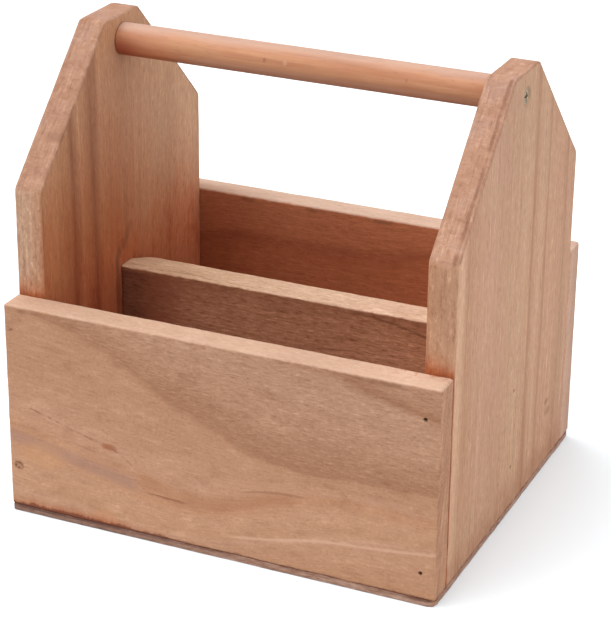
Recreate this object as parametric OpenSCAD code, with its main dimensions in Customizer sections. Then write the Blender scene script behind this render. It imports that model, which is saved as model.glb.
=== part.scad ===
// Open wooden tool caddy with gabled ends, a lengthwise divider and a round handle.
// Frame: X along the front board, Y to the back, Z up, origin under the middle of the box.

/* [Box] */
// Width over the ends of the front and back boards
caddy_w = 250; // [180:1:360]
// Depth over the faces of the front and back boards
caddy_d = 218; // [150:1:300]
// Thickness of the front and back boards
board_t = 16; // [10:0.5:20]
// Height of the front and back boards' top edges above the table
board_top = 124; // [95:1:145]
// Easing radius along the boards' top edges
board_ease = 1.5; // [0.5:0.1:3]

/* [End panels] */
// Thickness of the end panels
end_t = 16; // [11:0.5:20]
// Height of the flat gable tops above the table
gable_h = 257; // [225:1:330]
// Height of the shoulders where the slopes begin
shoulder_h = 184; // [150:1:205]
// Width of the flat at the top of each gable
gable_flat = 38; // [26:1:70]
// Radius of the rounding where the slopes meet the sides and the top
gable_corner_r = 6; // [2:0.5:12]

/* [Divider] */
// Thickness of the divider
divider_t = 19; // [10:0.5:24]
// Height of the divider's top edge above the table
divider_top = 111.5; // [80:0.5:120]
// Distance from the middle of the box back to the divider's middle
divider_offset = 1.5; // [-25:0.5:25]
// Easing radius along the divider's top edges
divider_ease = 2; // [0.5:0.1:4]

/* [Bottom panel] */
// Thickness of the bottom panel
bottom_t = 4; // [3:0.1:6]
// Radius of the bottom panel's corners
bottom_corner_r = 2; // [0.5:0.1:6]

/* [Handle] */
// Diameter of the handle dowel
dowel_d = 18; // [12:0.5:22]
// Distance from the gable tops down to the dowel's axis
dowel_drop = 14; // [12:0.5:24]
// Running gap between each dowel end and its end panel
dowel_end_gap = 0.2; // [0.1:0.05:0.4]

/* [Handle screws] */
// Diameter of the screw shank
screw_d = 4; // [3:0.5:5]
// Length of the screw from the top of its head to its tip
screw_len = 45; // [35:1:60]
// Diameter of the countersunk head
screw_head_d = 8.4; // [7:0.1:10]
// Depth of the head below the end panel's face
screw_set = 0.6; // [0:0.1:1.5]
// Length of the screw's pointed tip
screw_tip = 5; // [3:0.5:8]
// Length of each bar of the cross recess
cross_len = 4.6; // [3:0.1:5.5]
// Width of each bar of the cross recess
cross_w = 1.1; // [0.6:0.1:1.6]
// Depth of the cross recess
cross_depth = 1.5; // [0.8:0.1:2]
// Radial clearance of the turning shank in the end panel
pivot_clear = 0.08; // [0.02:0.01:0.1]
// Clearance between the turning head and its countersink
sink_clear = 0.2; // [0.1:0.05:0.4]

/* [Nails] */
// Diameter of the nail shank
nail_d = 1.6; // [1.2:0.1:2]
// Diameter of the nail head
nail_head_d = 2.1; // [2.1:0.1:3]
// Thickness of the nail head
nail_head_t = 0.8; // [0.5:0.1:1.2]
// Length of the nails through the boards and end panels
nail_len = 36; // [28:1:45]
// Depth of those nail heads below the wood's surface
nail_set = 1.2; // [0.5:0.1:2]
// Clearance of every nail and screw in the hole that grips it
grip_clear = 0.02; // [0.01:0.01:0.05]
// Distance of the left corner nails outside the middle of their end panel
left_nail_out = 3.5; // [0:0.5:4]
// Distance of the right corner nails inside the middle of their end panel
right_nail_in = 0.5; // [0:0.5:3]
// Distance from the boards' top edges down to the left upper nails
left_nail_down = 14.5; // [10:0.5:22]
// Distance from the boards' top edges down to the right upper nails
right_nail_down = 17.5; // [10:0.5:22]
// Height of the left lower nails above the boards' bottom edges
left_nail_up = 25.5; // [12:0.5:32]
// Height of the right lower nails above the boards' bottom edges
right_nail_up = 15; // [12:0.5:32]
// Distance from the divider's top edge down to its upper nails
divider_nail_down = 36; // [12:0.5:40]
// Height of the divider's lower nails above its bottom edge
divider_nail_up = 25; // [16:0.5:34]
// Distance of the divider's end nails behind its middle
divider_nail_back = 1.5; // [0:0.5:6]

/* [Bottom nails] */
// Length of the nails through the bottom panel
bottom_nail_len = 13; // [10:0.5:15]
// Depth of those nail heads below the bottom panel's underside
bottom_nail_set = 0.4; // [0.2:0.1:1]
// Number of nails along the front board, the back board and the divider
long_nail_count = 4; // [2:1:6]
// Number of nails along each end panel
end_nail_count = 3; // [2:1:5]
// Distance from the ends of a row to its first and last nail
bottom_nail_inset = 32; // [20:1:45]

/* [Hidden] */
$fn = 64;

// How far a cutting tool runs past the surface that it opens
cut_over = 1;

half_w = caddy_w / 2;
half_d = caddy_d / 2;
end_inner_x = half_w - end_t;
end_mid_x = half_w - end_t / 2;
end_half_d = half_d - board_t;
board_mid_y = half_d - board_t / 2;
dowel_z = gable_h - dowel_drop;
dowel_half_len = end_inner_x - dowel_end_gap;
pivot_r = screw_d / 2 + pivot_clear;
sink_mouth_r = screw_head_d / 2 + screw_set + sink_clear;

wood_red = "#b98a6c";
wood_light = "#c9a182";
wood_dark = "#8a5a42";
wood_orange = "#c98f63";
ply_brown = "#7d6355";
steel_grey = "#8d8f92";

// Places [x, z] of the corner nails, low then high, on the left and on the right
left_nail_x = -end_mid_x - left_nail_out;
right_nail_x = end_mid_x - right_nail_in;
left_corner_spots = [
    [left_nail_x, bottom_t + left_nail_up],
    [left_nail_x, board_top - left_nail_down]
];
right_corner_spots = [
    [right_nail_x, bottom_t + right_nail_up],
    [right_nail_x, board_top - right_nail_down]
];
divider_nail_heights = [bottom_t + divider_nail_up, divider_top - divider_nail_down];
divider_nail_y = divider_offset + min(divider_nail_back, divider_t / 2 - nail_head_d);

// Places along a row of nails, spread evenly between its two inset ends
function row_spots(half_row, count) = [
    for (i = [0 : count - 1])
        (half_row - bottom_nail_inset) * (2 * i / (count - 1) - 1)
];
long_spots = row_spots(half_w, long_nail_count);
divider_spots = row_spots(end_inner_x, long_nail_count);
end_spots = row_spots(end_half_d, end_nail_count);

// Upright strip with its two top corners eased, standing on the X axis from 0 to thick
module eased_strip(thick, high, ease) {
    square([thick, high - ease]);
    translate([ease, 0])
        square([thick - 2 * ease, high]);
    for (x = [ease, thick - ease])
        translate([x, high - ease])
            circle(ease);
}

// Board standing on the bottom panel, from X -half_len to +half_len and Y y0 to y0 + thick
module standing_board(half_len, y0, thick, top, ease) {
    translate([-half_len, y0, bottom_t])
        rotate([90, 0, 90])
            linear_extrude(2 * half_len)
                eased_strip(thick, top - bottom_t, ease);
}

// Nail along +Z from the wood's surface at Z 0, with its head set below that surface
module nail(len, set) {
    translate([0, 0, set])
        cylinder(d = nail_head_d, h = nail_head_t);
    translate([0, 0, set])
        cylinder(d = nail_d, h = len);
}

// Hole that grips such a nail and opens at the surface where its head was driven in
module nail_hole(len, set) {
    translate([0, 0, -cut_over])
        cylinder(d = nail_head_d + 2 * grip_clear, h = cut_over + set + nail_head_t + grip_clear);
    cylinder(d = nail_d + 2 * grip_clear, h = set + len + grip_clear);
}

// A nail, or the hole for one
module nail_or_hole(as_hole, len, set) {
    if (as_hole)
        nail_hole(len, set);
    else
        nail(len, set);
}

// Nails through the front board, pointing back into the end panels
module front_nail_row(spots, as_hole) {
    for (spot = spots)
        translate([spot[0], -half_d, spot[1]])
            rotate([-90, 0, 0])
                nail_or_hole(as_hole, nail_len, nail_set);
}

// The same nails through the back board, pointing forward
module back_nail_row(spots, as_hole) {
    mirror([0, 1, 0])
        front_nail_row(spots, as_hole);
}

// Nails through the right end panel, pointing into the divider's end
module divider_nail_row(as_hole) {
    for (z = divider_nail_heights)
        translate([half_w, divider_nail_y, z])
            rotate([0, -90, 0])
                nail_or_hole(as_hole, nail_len, nail_set);
}

// Nails up through the bottom panel, at a list of [x, y] places
module bottom_nail_row(spots, as_hole) {
    for (spot = spots)
        translate([spot[0], spot[1], 0])
            nail_or_hole(as_hole, bottom_nail_len, bottom_nail_set);
}
bottom_front_spots = [for (x = long_spots) [x, -board_mid_y]];
bottom_back_spots = [for (x = long_spots) [x, board_mid_y]];
bottom_left_spots = [for (y = end_spots) [-end_mid_x, y]];
bottom_right_spots = [for (y = end_spots) [end_mid_x, y]];
bottom_divider_spots = [for (x = divider_spots) [x, divider_offset]];

// Countersunk screw along -Z, turned from one half profile, with the end panel's face at Z 0
module screw_blank() {
    head_h = (screw_head_d - screw_d) / 2;
    translate([0, 0, -screw_set - screw_len])
        rotate_extrude()
            polygon([
                [0, 0],
                [screw_d / 2, screw_tip],
                [screw_d / 2, screw_len - head_h],
                [screw_head_d / 2, screw_len],
                [0, screw_len]
            ]);
}

// Right-hand screw along the dowel's axis, with its cross recess
module placed_screw() {
    translate([half_w, 0, dowel_z])
        rotate([0, 90, 0])
            difference() {
                screw_blank();
                for (turn = [0, 90])
                    rotate([0, 0, turn])
                        translate([-cross_len / 2, -cross_w / 2, -screw_set - cross_depth])
                            cube([cross_len, cross_w, cross_depth + cut_over]);
            }
}

// Clearance hole and countersink that the right-hand screw turns in
module screw_pivot_hole() {
    translate([half_w, 0, dowel_z])
        rotate([0, -90, 0]) {
            translate([0, 0, -cut_over])
                cylinder(r = pivot_r, h = end_t + 2 * cut_over);
            cylinder(r1 = sink_mouth_r, r2 = 0, h = sink_mouth_r);
        }
}

// Pilot hole in the dowel's right end, gripping the screw over its whole depth
module screw_pilot_hole() {
    pilot_tip_x = half_w - screw_set - screw_len;
    translate([pilot_tip_x - grip_clear, 0, dowel_z])
        rotate([0, 90, 0])
            cylinder(d = screw_d + 2 * grip_clear, h = screw_len);
}

// One half of the gable's outline, from the middle out to its right edge
module half_gable() {
    slope = atan2(gable_h - shoulder_h, end_half_d - gable_flat / 2);
    along = [-cos(slope), sin(slope)];
    shoulder_run = gable_corner_r * tan((90 - slope) / 2);
    top_run = gable_corner_r * tan(slope / 2);
    shoulder = [end_half_d, shoulder_h];
    peak = [gable_flat / 2, gable_h];
    polygon([
        [0, bottom_t],
        [end_half_d, bottom_t],
        shoulder - [0, shoulder_run],
        shoulder + shoulder_run * along,
        peak - top_run * along,
        peak - [top_run, 0],
        [0, gable_h]
    ]);
    translate(shoulder - [gable_corner_r, shoulder_run])
        circle(gable_corner_r);
    translate(peak - [top_run, gable_corner_r])
        circle(gable_corner_r);
}

// Right-hand end panel blank: upright sides, two slopes and a flat top, with rounded corners
module end_blank() {
    translate([end_inner_x, 0, 0])
        rotate([90, 0, 90])
            linear_extrude(end_t) {
                half_gable();
                mirror([1, 0])
                    half_gable();
            }
}

module bottom_panel() {
    color(ply_brown)
        difference() {
            linear_extrude(bottom_t)
                union() {
                    square([caddy_w - 2 * bottom_corner_r, caddy_d], center = true);
                    square([caddy_w, caddy_d - 2 * bottom_corner_r], center = true);
                    for (x = [-1, 1], y = [-1, 1])
                        translate([x * (half_w - bottom_corner_r), y * (half_d - bottom_corner_r)])
                            circle(bottom_corner_r);
                }
            bottom_nail_row(bottom_front_spots, true);
            bottom_nail_row(bottom_back_spots, true);
            bottom_nail_row(bottom_left_spots, true);
            bottom_nail_row(bottom_right_spots, true);
            bottom_nail_row(bottom_divider_spots, true);
        }
}

module left_end_panel() {
    color(wood_light)
        difference() {
            mirror([1, 0, 0])
                end_blank();
            mirror([1, 0, 0])
                screw_pivot_hole();
            mirror([1, 0, 0])
                divider_nail_row(true);
            front_nail_row(left_corner_spots, true);
            back_nail_row(left_corner_spots, true);
            bottom_nail_row(bottom_left_spots, true);
        }
}

module right_end_panel() {
    color(wood_light)
        difference() {
            end_blank();
            screw_pivot_hole();
            divider_nail_row(true);
            front_nail_row(right_corner_spots, true);
            back_nail_row(right_corner_spots, true);
            bottom_nail_row(bottom_right_spots, true);
        }
}

module front_board() {
    color(wood_red)
        difference() {
            standing_board(half_w, -half_d, board_t, board_top, board_ease);
            front_nail_row(left_corner_spots, true);
            front_nail_row(right_corner_spots, true);
            bottom_nail_row(bottom_front_spots, true);
        }
}

module back_board() {
    color(wood_red)
        difference() {
            standing_board(half_w, end_half_d, board_t, board_top, board_ease);
            back_nail_row(left_corner_spots, true);
            back_nail_row(right_corner_spots, true);
            bottom_nail_row(bottom_back_spots, true);
        }
}

module divider() {
    color(wood_dark)
        difference() {
            standing_board(end_inner_x, divider_offset - divider_t / 2, divider_t, divider_top, divider_ease);
            divider_nail_row(true);
            mirror([1, 0, 0])
                divider_nail_row(true);
            bottom_nail_row(bottom_divider_spots, true);
        }
}

module handle_dowel() {
    color(wood_orange)
        difference() {
            translate([-dowel_half_len, 0, dowel_z])
                rotate([0, 90, 0])
                    cylinder(d = dowel_d, h = 2 * dowel_half_len);
            screw_pilot_hole();
            mirror([1, 0, 0])
                screw_pilot_hole();
        }
}

module left_handle_screw() {
    color(steel_grey)
        mirror([1, 0, 0])
            placed_screw();
}

module right_handle_screw() {
    color(steel_grey)
        placed_screw();
}

module front_left_nails() {
    color(steel_grey)
        front_nail_row(left_corner_spots, false);
}

module front_right_nails() {
    color(steel_grey)
        front_nail_row(right_corner_spots, false);
}

module back_left_nails() {
    color(steel_grey)
        back_nail_row(left_corner_spots, false);
}

module back_right_nails() {
    color(steel_grey)
        back_nail_row(right_corner_spots, false);
}

module divider_left_nails() {
    color(steel_grey)
        mirror([1, 0, 0])
            divider_nail_row(false);
}

module divider_right_nails() {
    color(steel_grey)
        divider_nail_row(false);
}

module bottom_front_nails() {
    color(steel_grey)
        bottom_nail_row(bottom_front_spots, false);
}

module bottom_back_nails() {
    color(steel_grey)
        bottom_nail_row(bottom_back_spots, false);
}

module bottom_left_nails() {
    color(steel_grey)
        bottom_nail_row(bottom_left_spots, false);
}

module bottom_right_nails() {
    color(steel_grey)
        bottom_nail_row(bottom_right_spots, false);
}

module bottom_divider_nails() {
    color(steel_grey)
        bottom_nail_row(bottom_divider_spots, false);
}

bottom_panel();
left_end_panel();
right_end_panel();
front_board();
back_board();
divider();
handle_dowel();
left_handle_screw();
right_handle_screw();
front_left_nails();
front_right_nails();
back_left_nails();
back_right_nails();
divider_left_nails();
divider_right_nails();
bottom_front_nails();
bottom_back_nails();
bottom_left_nails();
bottom_right_nails();
bottom_divider_nails();
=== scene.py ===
# Open wooden tool caddy: a nailed box with gabled ends, a divider and a round handle.
import bpy
import math
import numpy as np
from mathutils import Matrix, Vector
from types import SimpleNamespace


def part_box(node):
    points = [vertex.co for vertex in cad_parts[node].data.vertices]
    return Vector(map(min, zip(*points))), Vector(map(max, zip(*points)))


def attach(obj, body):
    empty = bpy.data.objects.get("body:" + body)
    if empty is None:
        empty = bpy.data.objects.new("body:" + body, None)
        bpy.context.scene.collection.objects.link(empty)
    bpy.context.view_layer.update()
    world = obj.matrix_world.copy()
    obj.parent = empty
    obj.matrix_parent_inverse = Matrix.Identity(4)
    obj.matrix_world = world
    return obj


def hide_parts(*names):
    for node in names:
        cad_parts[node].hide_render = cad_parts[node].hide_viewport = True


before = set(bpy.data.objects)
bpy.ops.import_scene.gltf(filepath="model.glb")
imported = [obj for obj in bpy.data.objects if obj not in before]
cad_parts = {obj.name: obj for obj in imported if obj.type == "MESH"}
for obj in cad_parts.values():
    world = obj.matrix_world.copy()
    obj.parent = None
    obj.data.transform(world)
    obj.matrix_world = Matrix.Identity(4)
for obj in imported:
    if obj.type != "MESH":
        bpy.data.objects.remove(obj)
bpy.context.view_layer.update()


# Bottom panel
# A sheet of thin plywood under the whole box, sawn to its outline and left rough at the edges.
# It is nailed up into the boards, the end panels and the divider from below.

NAIL_HEAD_R = 1.05
SHARP_ABOVE = 38


def box_mm(node):
    """Lowest and highest corner of a CAD node, in millimetres."""
    return [np.round(np.array(corner) * 1000.0, 3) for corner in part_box(node)]


def nail_spots(node, count):
    """Centres of a row of nails: even steps between the first and last nail in the node's box."""
    low, high = box_mm(node)
    return np.linspace(low + NAIL_HEAD_R, high - NAIL_HEAD_R, count)


def board_lines(low, high, ease, step, spots=(), rings=()):
    """Lattice lines across a board: lines that share a quarter round of radius ease evenly at both
    edges, even steps between them, and lines at the given ring sizes on both sides of each fixing."""
    arc = ease * (1 - np.tan(np.radians([45, 33, 22, 11, 0])))
    inner = np.linspace(low + ease, high - ease, int((high - low - 2 * ease) / step) + 2)[1:-1]
    rings = np.asarray(rings, float)
    around = [np.concatenate([spot - rings, spot + rings]) for spot in spots]
    for spot in spots:
        inner = inner[np.abs(inner - spot) > rings.max()]
    lines = np.concatenate([low + arc, inner, high - arc, *around])
    return np.unique(np.round(np.clip(lines, low, high), 3))


def lattice_skin(a, b, c):
    """Skin of a block of lattice lines: each lattice point on one of the six sides once, and the
    quads of those sides turned outwards."""
    shape = (len(a), len(b), len(c))
    outside = np.ones(shape, bool)
    outside[1:-1, 1:-1, 1:-1] = False
    number = np.cumsum(outside).reshape(shape) - 1
    i, j, k = np.nonzero(outside)

    def side(grid, turned):
        quads = np.stack([grid[:-1, :-1], grid[1:, :-1], grid[1:, 1:], grid[:-1, 1:]], -1)
        return quads.reshape(-1, 4)[:, ::-1] if turned else quads.reshape(-1, 4)

    quads = np.concatenate([
        side(number[:, :, 0], True), side(number[:, :, -1], False),
        side(number[:, 0], False), side(number[:, -1], True),
        side(number[0], True), side(number[-1], False),
    ])
    return np.stack([a[i], b[j], c[k]], 1), quads


def eased(points, ease, shape=lambda p: p):
    """Rounds a block's arrises: the part of each point that lies within ease of the sides is
    scaled to the length of a ball's radius, after both it and its core are bent to the shape."""
    core = np.clip(points, points.min(0) + ease, points.max(0) - ease)
    reach = np.linalg.norm(points - core, axis=1, keepdims=True) / ease
    return shape(core) + (shape(points) - shape(core)) / reach


def wander(u, seed, longest, count=7):
    """Smooth random curve between -1 and 1 along u: sines of seeded phase, each a little shorter
    than the one before."""
    draw = np.random.default_rng(seed)
    lengths = longest * 0.72 ** np.arange(count)
    phases = draw.uniform(0, 2 * np.pi, count)
    heights = 0.85 ** np.arange(count)
    waves = np.sin(2 * np.pi * np.asarray(u)[..., None] / lengths + phases)
    return (waves * heights).sum(-1) / heights.sum()


def round_rings(points, axes, spots, full, done):
    """Slides lattice points around each fixing along their own rays, so that the square rings of
    lattice lines become circles out to full, fading back to squares at done."""
    points = points.copy()
    for spot in spots:
        away = points[:, axes] - spot[axes]
        square = np.abs(away).max(1)
        circle = np.maximum(np.hypot(*away.T), 1e-9)
        fade = np.clip((done - square) / (done - full), 0, 1)
        points[:, axes] = spot[axes] + away * (1 + (square / circle - 1) * fade)[:, None]
    return points


def hole_depth(points, axes, spots, radii, depths):
    """Depth of the holes at each point: the given profile of depth over radius about each spot."""
    depth = np.zeros(len(points))
    for spot in spots:
        radius = np.hypot(*(points[:, axes] - spot[axes]).T)
        depth = np.maximum(depth, np.interp(radius, radii, depths))
    return depth


def stand(name, data):
    """New object of a mesh, lamp or camera, linked to the scene."""
    made = bpy.data.objects.new(name, data)
    bpy.context.scene.collection.objects.link(made)
    return made


def put_piece(name, points, faces, coat, slot, body, node):
    """Makes a mesh object from points in millimetres and stands it for its CAD node."""
    mesh = bpy.data.meshes.new(name)
    mesh.from_pydata((points * 0.001).tolist(), [], [list(face) for face in faces])
    mesh.polygons.foreach_set("use_smooth", np.ones(len(mesh.polygons), bool))
    mesh.set_sharp_from_angle(angle=math.radians(SHARP_ABOVE))
    mesh.materials.append(coat.finish)
    piece = stand(name, mesh)
    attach(piece, body)
    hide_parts(node)


class Wire:
    """An output socket in a node tree. Operators between wires and numbers add Math nodes."""

    def __init__(self, socket):
        self.socket = socket

    def node(self, kind, settings=(), sockets=(), out=0):
        """Adds a node of any kind to the tree: its settings first, then values or wires for its
        sockets by name or number."""
        tree = self.socket.id_data
        made = tree.nodes.new(kind)
        for key, value in dict(settings).items():
            setattr(made, key, value)
        for key, value in dict(sockets).items():
            if isinstance(value, Wire):
                tree.links.new(value.socket, made.inputs[key])
            else:
                made.inputs[key].default_value = value
        return Wire(made.outputs[out])

    def math(self, operation, *values):
        """Adds a Math node on wires and numbers."""
        return self.node("ShaderNodeMath", {"operation": operation}, dict(enumerate(values)))

    def __add__(self, other):
        return self.math("ADD", self, other)

    __radd__ = __add__

    def __sub__(self, other):
        return self.math("SUBTRACT", self, other)

    def __rsub__(self, other):
        return self.math("SUBTRACT", other, self)

    def __mul__(self, other):
        return self.math("MULTIPLY", self, other)

    __rmul__ = __mul__

    def __truediv__(self, other):
        return self.math("DIVIDE", self, other)

    def __rtruediv__(self, other):
        return self.math("DIVIDE", other, self)

    def __abs__(self):
        return self.math("ABSOLUTE", self)


def tone(red, green, blue):
    """Linear colour of an sRGB colour written as numbers up to 255."""
    shares = np.array([red, green, blue]) / 255
    return tuple(np.where(shares <= 0.04045, shares / 12.92, ((shares + 0.055) / 1.055) ** 2.4))


def start_finish(name, **constants):
    """New coat: a material with the constants set on its Principled shader, and the place on the
    piece in millimetres as a vector wire and as three wires."""
    finish = bpy.data.materials.new(name)
    finish.use_nodes = True
    shader = finish.node_tree.nodes["Principled BSDF"]
    for key, value in constants.items():
        shader.inputs[key.replace("_", " ")].default_value = value
    place = Wire(shader.outputs[0]).node("ShaderNodeTexCoord", out="Object")
    place = place.node("ShaderNodeVectorMath", {"operation": "SCALE"}, {0: place, "Scale": 1000.0})
    x, y, z = [place.node("ShaderNodeSeparateXYZ", (), {0: place}, axis) for axis in "XYZ"]
    return SimpleNamespace(finish=finish, shader=shader, place=place, x=x, y=y, z=z)


def noise(place, lengths, detail=2.0, rough=0.55):
    """Noise between 0 and 1 whose waves have the given lengths along the three directions."""
    scaled = place.node("ShaderNodeVectorMath", {"operation": "DIVIDE"}, {0: place, 1: lengths})
    sockets = {"Vector": scaled, "Scale": 1.0, "Detail": detail, "Roughness": rough}
    return place.node("ShaderNodeTexNoise", {"noise_dimensions": "3D"}, sockets)


def rise(wire, low, high):
    """Smooth step from 0 at low to 1 at high."""
    sockets = {"Value": wire, "From Min": low, "From Max": high}
    return wire.node("ShaderNodeMapRange", {"interpolation_type": "SMOOTHSTEP"}, sockets)


def blend(share, first, second, way="MIX"):
    """Mix of two colours, each a wire or a linear colour, by a share."""
    first, second = [shade if isinstance(shade, Wire) else (*shade, 1) for shade in (first, second)]
    settings = {"data_type": "RGBA", "blend_type": way}
    return share.node("ShaderNodeMix", settings, {0: share, 6: first, 7: second}, 2)


def tint(coat, share, shade):
    """Mixes a shade, which is a wire or an sRGB colour, into a coat's colour by a share."""
    coat.colour = blend(share, coat.colour, shade if isinstance(shade, Wire) else tone(*shade))


def ramp(wire, *stops):
    """Colour ramp of stops, each a place and an sRGB colour."""
    shades = wire.node("ShaderNodeValToRGB", (), {0: wire})
    elements = shades.socket.node.color_ramp.elements
    for place, *_ in stops[2:]:
        elements.new(place)
    for element, (place, *shade) in zip(elements, stops):
        element.position = place
        element.color = (*tone(*shade), 1)
    return shades


def join(coat, wires):
    """Joins wires to the inputs of a coat's shader."""
    for key, wire in wires.items():
        coat.finish.node_tree.links.new(wire.socket, coat.shader.inputs[key])


def close_finish(coat, relief, depth, roughness):
    """Joins a coat's colour, roughness and relief, where depth is the relief's height in metres."""
    sockets = {"Height": relief, "Strength": 1.0, "Distance": depth}
    normal = relief.node("ShaderNodeBump", (), sockets)
    join(coat, {"Base Color": coat.colour, "Roughness": roughness, "Normal": normal})


PLY_LOW, PLY_HIGH = box_mm("bottom_panel")
PLY_EASE = 0.6
PLY_STEP = 4.0
PLY_LAYER = 0.8
PLY_RAGGED = 0.25
PLY_CORNER_R = 2.0
PLY_SPLINTERED_R = 4.4
# each hole's profile: radii and the depths at them, then the radii that are made round
PLY_HOLE = [0.98, 1.07, 1.4], [0.6, 0.05, 0]
PLY_HOLE_ROUND = 2.2, 3.4
PLY_HOLE_RINGS = [0, 0.5, *PLY_HOLE[0], *PLY_HOLE_ROUND]
PLY_ROWS = {"bottom_front_nails": 4, "bottom_back_nails": 4, "bottom_divider_nails": 4,
            "bottom_left_nails": 3, "bottom_right_nails": 3}

ply_nails = np.concatenate([nail_spots(node, count) for node, count in PLY_ROWS.items()])


def ply_lines(axis):
    """Lattice lines of the sheet along X or Y, with rings round the nails."""
    spots = np.unique(np.round(ply_nails[:, axis], 2))
    return board_lines(PLY_LOW[axis], PLY_HIGH[axis], PLY_EASE, PLY_STEP, spots, PLY_HOLE_RINGS)


def ply_outline(points):
    """Sheet outline: the sawn edges run in and out by up to half a millimetre, and the corners
    are broken off by a quarter round, more at the front right where the veneer has splintered."""
    flat, half = points[:, :2], PLY_HIGH[:2]
    ragged = PLY_RAGGED * (1 + wander(flat[:, :1] + 1.7 * flat[:, 1:], 3, 60, 9))
    flat = flat * (1 - ragged * np.abs(flat / half) ** 8 / half)
    radius = np.where((flat[:, :1] > 0) & (flat[:, 1:] < 0), PLY_SPLINTERED_R, PLY_CORNER_R)
    over = (np.abs(flat) - half + radius).clip(0)
    far = np.maximum(np.linalg.norm(over, axis=1, keepdims=True), 1e-9)
    pull = np.where(over.min(1, keepdims=True) > 0, over.max(1, keepdims=True) / far, 1)
    flat = np.where(pull < 1, np.sign(flat) * (half - radius + over * pull), flat)
    return np.column_stack([flat, points[:, 2]])


block, ply_faces = lattice_skin(
    ply_lines(0), ply_lines(1), board_lines(PLY_LOW[2], PLY_HIGH[2], PLY_EASE, PLY_LAYER))
under = block[:, 2] == PLY_LOW[2]
block = round_rings(block, [0, 1], ply_nails, *PLY_HOLE_ROUND)
ply_points = eased(block, PLY_EASE, ply_outline)
ply_points[:, 2] += under * hole_depth(block, [0, 1], ply_nails, *PLY_HOLE)

ply = start_finish("bottom_ply_bare", Specular_IOR_Level=0.2)
place, x, y, z = ply.place, ply.x, ply.y, ply.z
veneer = noise(place, (70.0, 2.2, 8.0), 4)
cloud = noise(place, (60.0, 60.0, 60.0), 2)
fibres = noise(place, (14.0, 0.7, 0.7), 3)
ply.colour = ramp(veneer, (0.25, 150, 104, 78), (0.55, 184, 138, 108), (0.8, 198, 156, 126))
tint(ply, rise(cloud, 0.4, 0.75) * 0.5, (160, 106, 76))
# the sawn edge: two outer veneers and a darker core, with dust and saw marks, and painted floor light
# below
flat_x = 1 - rise(abs(x), PLY_HIGH[0] - 1.8, PLY_HIGH[0] - 0.7)
flat_y = 1 - rise(abs(y), PLY_HIGH[1] - 1.8, PLY_HIGH[1] - 0.7)
edge = 1 - flat_x * flat_y
layers = noise(place, (24.0, 24.0, 1.3), 3, 0.7)
saw = noise(place, (6.0, 6.0, 1.4), 3, 0.75)
core = rise(abs(z - PLY_HIGH[2] / 2), 1.1, 0.5)
sawn = SimpleNamespace(colour=ramp(
    layers, (0.3, 140, 100, 82), (0.5, 178, 138, 118), (0.75, 200, 166, 148)))
tint(sawn, core * 0.25, (140, 100, 82))
# painted light from the floor, paling the bottom of the edge
tint(sawn, rise(z, 1.3, 0.4) * 0.35, (172, 146, 132))
tint(sawn, rise(saw, 0.52, 0.66) * 0.55, (112, 76, 62))
tint(sawn, rise(saw, 0.49, 0.34) * 0.45, (214, 184, 166))
weathered = rise(x, 30.0, -80.0)
tint(sawn, weathered * 0.6, (120, 90, 79))
# painted shade in the gap under the boards, widest at the lifted front right corner
corner_gap_shade = rise(x, PLY_HIGH[0] - 21, PLY_HIGH[0] - 9) * rise(y, PLY_LOW[1] + 8, PLY_LOW[1] + 3)
broken = rise(noise(place, (16.0, 16.0, 40.0), 3, 0.65), 0.3, 0.55)
painted_gap_shade = rise(z + (layers - 0.5) * 3.0, 2.3, 3.4)
tint(sawn, painted_gap_shade * (broken * (weathered * 0.3 + 0.4) + corner_gap_shade * 0.4), (84, 44, 32))
tint(ply, edge, sawn.colour)
close_finish(ply, fibres * 0.5 + veneer * 0.5 + saw * edge, 0.0004, 0.66 + fibres * 0.2)

put_piece("bottom_panel_ply", ply_points, ply_faces, ply, "bottom_ply", "box", "bottom_panel")


# End panels
# Two gabled boards of flat, straight-grained hardwood standing on the bottom panel, with the grain
# upright, sawn to shape and lightly sanded. Each carries one handle screw in a countersink.

END_EASE = 1.8
END_STEP, END_STEP_THICK = 3.0, 2.0
END_DENT = 0.12
SHOULDER_Z = 184.0
GABLE_HALF_FLAT = 19.0
GABLE_CORNER_R = 6.0
GABLE_CORE = 9.6
NAIL_HOLE = [0.95, 1.07, 1.2], [1.5, 0.12, 0]
NAIL_ROUND = 2.6, 3.8
NAIL_RINGS = [0, 0.5, *NAIL_HOLE[0], 1.7, *NAIL_ROUND]
SINK_HOLE = [2.0, 2.15, 5.0, 5.3], [3.4, 2.85, 0.12, 0]
SINK_ROUND = 7.4, 9.4
SINK_RINGS = np.array([0, 0.9, 1.7, 2.1, 3.0, 4.0, 4.7, 5.0, 5.3, 6.2, *SINK_ROUND])

END_LOW, END_HIGH = box_mm("right_end_panel")
BOARD_TOP = box_mm("front_board")[1][2]
SCREW_Z = np.mean(box_mm("right_handle_screw"), axis=0)[2]
SLOPE_RUN = END_HIGH[1] - GABLE_HALF_FLAT
SLOPE_RISE = END_HIGH[2] - SHOULDER_Z
SLOPE_LEN = math.hypot(SLOPE_RUN, SLOPE_RISE)
SLOPE_TURN = math.atan2(SLOPE_RISE, SLOPE_RUN)
SHOULDER_ARC = GABLE_CORNER_R * math.tan((math.pi / 2 - SLOPE_TURN) / 2)
PEAK_ARC = GABLE_CORNER_R * math.tan(SLOPE_TURN / 2)


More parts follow.
